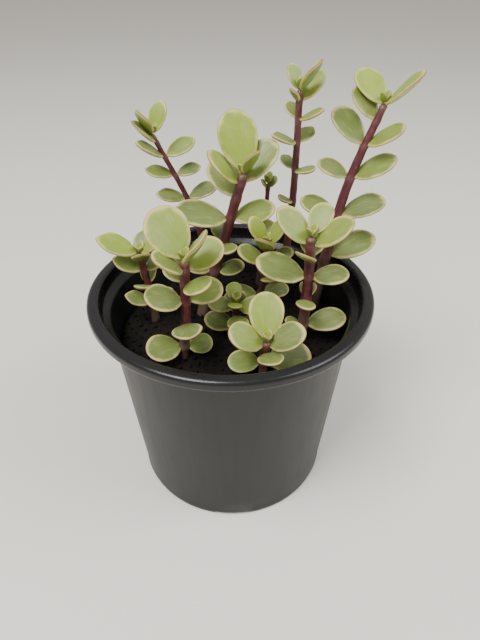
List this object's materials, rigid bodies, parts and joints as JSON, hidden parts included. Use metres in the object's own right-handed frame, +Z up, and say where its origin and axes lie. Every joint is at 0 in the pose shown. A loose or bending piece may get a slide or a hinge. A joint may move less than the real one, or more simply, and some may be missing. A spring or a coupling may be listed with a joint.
{
  "type": "potted elephant bush",
  "caption": "Small variegated succulent shrub with fleshy oval leaves in opposite pairs on dark stems, rooted in compost in a black tapered nursery pot.",
  "frame": {"origin": "on the ground, in the middle of the pot's foot", "axes": "+Z up; -Y towards the front, where the low shoots are; +X to the right seen from the front"},
  "size_m": [0.1203, 0.11, 0.1665],
  "materials": {
    "pot_plastic": "satin near-black moulded plastic, glossier on the rolled rim",
    "soil": "damp near-black peat and bark compost",
    "stem": "smooth dark maroon skin, grey-brown and woody near the soil",
    "leaf": "waxy satin succulent leaf, sage green with a creamy yellow margin"
  },
  "bodies": {
    "root": {"nursery_pot": "pot_plastic", "potting_soil": "soil", "left_back_stem": "stem", "left_back_stem_leaf_1": "leaf", "left_back_stem_leaf_2": "leaf", "left_back_stem_leaf_3": "leaf", "centre_stem": "stem", "centre_stem_leaf_1": "leaf", "centre_stem_leaf_2": "leaf", "centre_stem_leaf_3": "leaf", "centre_stem_leaf_4": "leaf", "centre_stem_leaf_5": "leaf", "centre_stem_leaf_6": "leaf", "tall_back_stem": "stem", "tall_back_stem_leaf_1": "leaf", "tall_back_stem_leaf_2": "leaf", "right_stem": "stem", "right_stem_leaf_1": "leaf", "right_stem_leaf_2": "leaf", "right_stem_leaf_3": "leaf", "right_stem_leaf_4": "leaf", "right_stem_leaf_5": "leaf", "right_stem_leaf_6": "leaf", "right_stem_leaf_7": "leaf", "right_stem_leaf_8": "leaf", "right_stem_leaf_9": "leaf", "right_stem_leaf_10": "leaf", "front_right_stem": "stem", "front_right_stem_leaf_1": "leaf", "front_right_stem_leaf_2": "leaf", "front_right_stem_leaf_3": "leaf", "front_right_stem_leaf_4": "leaf", "front_right_stem_leaf_5": "leaf", "front_right_stem_leaf_6": "leaf", "front_right_stem_leaf_7": "leaf", "front_left_stem": "stem", "front_left_stem_leaf_1": "leaf", "front_left_stem_leaf_2": "leaf", "front_left_stem_leaf_3": "leaf", "front_left_stem_leaf_4": "leaf", "front_left_stem_leaf_5": "leaf", "front_left_stem_leaf_6": "leaf", "front_left_stem_leaf_7": "leaf", "front_left_stem_leaf_8": "leaf", "left_edge_stem": "stem", "left_edge_stem_leaf_1": "leaf", "front_shoot": "stem", "front_shoot_leaf_1": "leaf", "front_shoot_leaf_2": "leaf", "front_shoot_leaf_3": "leaf", "front_shoot_leaf_4": "leaf", "inner_stem": "stem", "inner_stem_leaf_1": "leaf", "inner_stem_leaf_2": "leaf", "low_shoot": "stem", "bud_shoot": "stem"}
  },
  "joints": []
}
